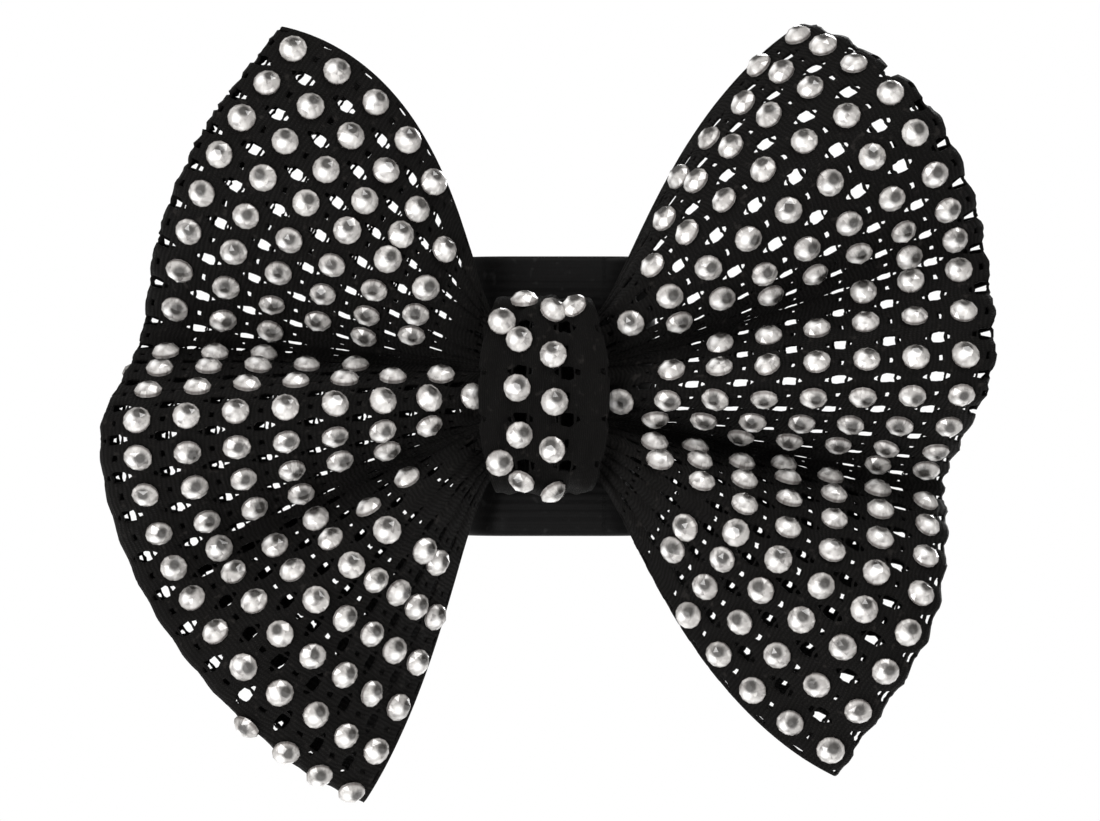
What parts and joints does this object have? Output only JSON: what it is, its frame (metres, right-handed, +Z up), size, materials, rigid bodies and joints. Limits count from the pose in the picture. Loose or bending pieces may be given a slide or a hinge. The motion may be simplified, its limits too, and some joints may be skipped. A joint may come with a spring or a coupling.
{
  "type": "hair bow",
  "caption": "Two-looped bow of black net set with round crystals, pinched by a crystal-set centre wrap, on a wide elastic cuff that grips a ponytail.",
  "frame": {"origin": "middle of the elastic cuff's opening, where the ponytail goes through", "axes": "+Z up as the bow is worn, +X to the right of someone facing the bow, -Y out of the crystal-set front"},
  "size_m": [0.128, 0.0353, 0.1132],
  "materials": {
    "net": "black woven net, matte, with open square cells",
    "elastic": "black satin-faced elastic with a soft sheen",
    "thread": "black polyester sewing thread",
    "crystal": "clear faceted crystal over silver foil"
  },
  "bodies": {
    "waist": {"waist_gather": "net", "gathering_thread": "thread", "centre_wrap": "net", "cuff_front_run": "elastic", "cuff_tack_1": "thread", "cuff_tack_2": "thread", "cuff_tack_3": "thread", "cuff_tack_4": "thread", "wrap_crystal_01": "crystal", "wrap_crystal_02": "crystal", "wrap_crystal_03": "crystal", "wrap_crystal_04": "crystal", "wrap_crystal_05": "crystal", "wrap_crystal_06": "crystal", "wrap_crystal_07": "crystal", "wrap_crystal_08": "crystal", "wrap_crystal_09": "crystal", "wrap_crystal_10": "crystal", "wrap_crystal_11": "crystal", "wrap_crystal_12": "crystal", "wrap_crystal_13": "crystal"},
    "left_wing": {"left_loop": "net"},
    "right_wing": {"right_loop": "net"},
    "cuff_back": {"cuff_back_run": "elastic", "cuff_seam_overlap": "elastic", "cuff_seam_stitch_left": "thread", "cuff_seam_stitch_right": "thread"}
  },
  "joints": [
    {"name": "left_loop_flex", "type": "hinge", "parent": "waist", "child": "left_wing", "pos_m": [-0.0082, -0.0154, 0], "axis": [0, 0, 1], "range_deg": [-10, 25], "stiffness_Nm_per_rad": 0.01},
    {"name": "right_loop_flex", "type": "hinge", "parent": "waist", "child": "right_wing", "pos_m": [0.0042, -0.0154, 0], "axis": [0, 0, -1], "range_deg": [-10, 25], "stiffness_Nm_per_rad": 0.01},
    {"name": "cuff_stretch", "type": "slide", "parent": "waist", "child": "cuff_back", "axis": [0, 1, 0], "range_m": [0, 0.014], "stiffness_N_per_m": 70}
  ]
}
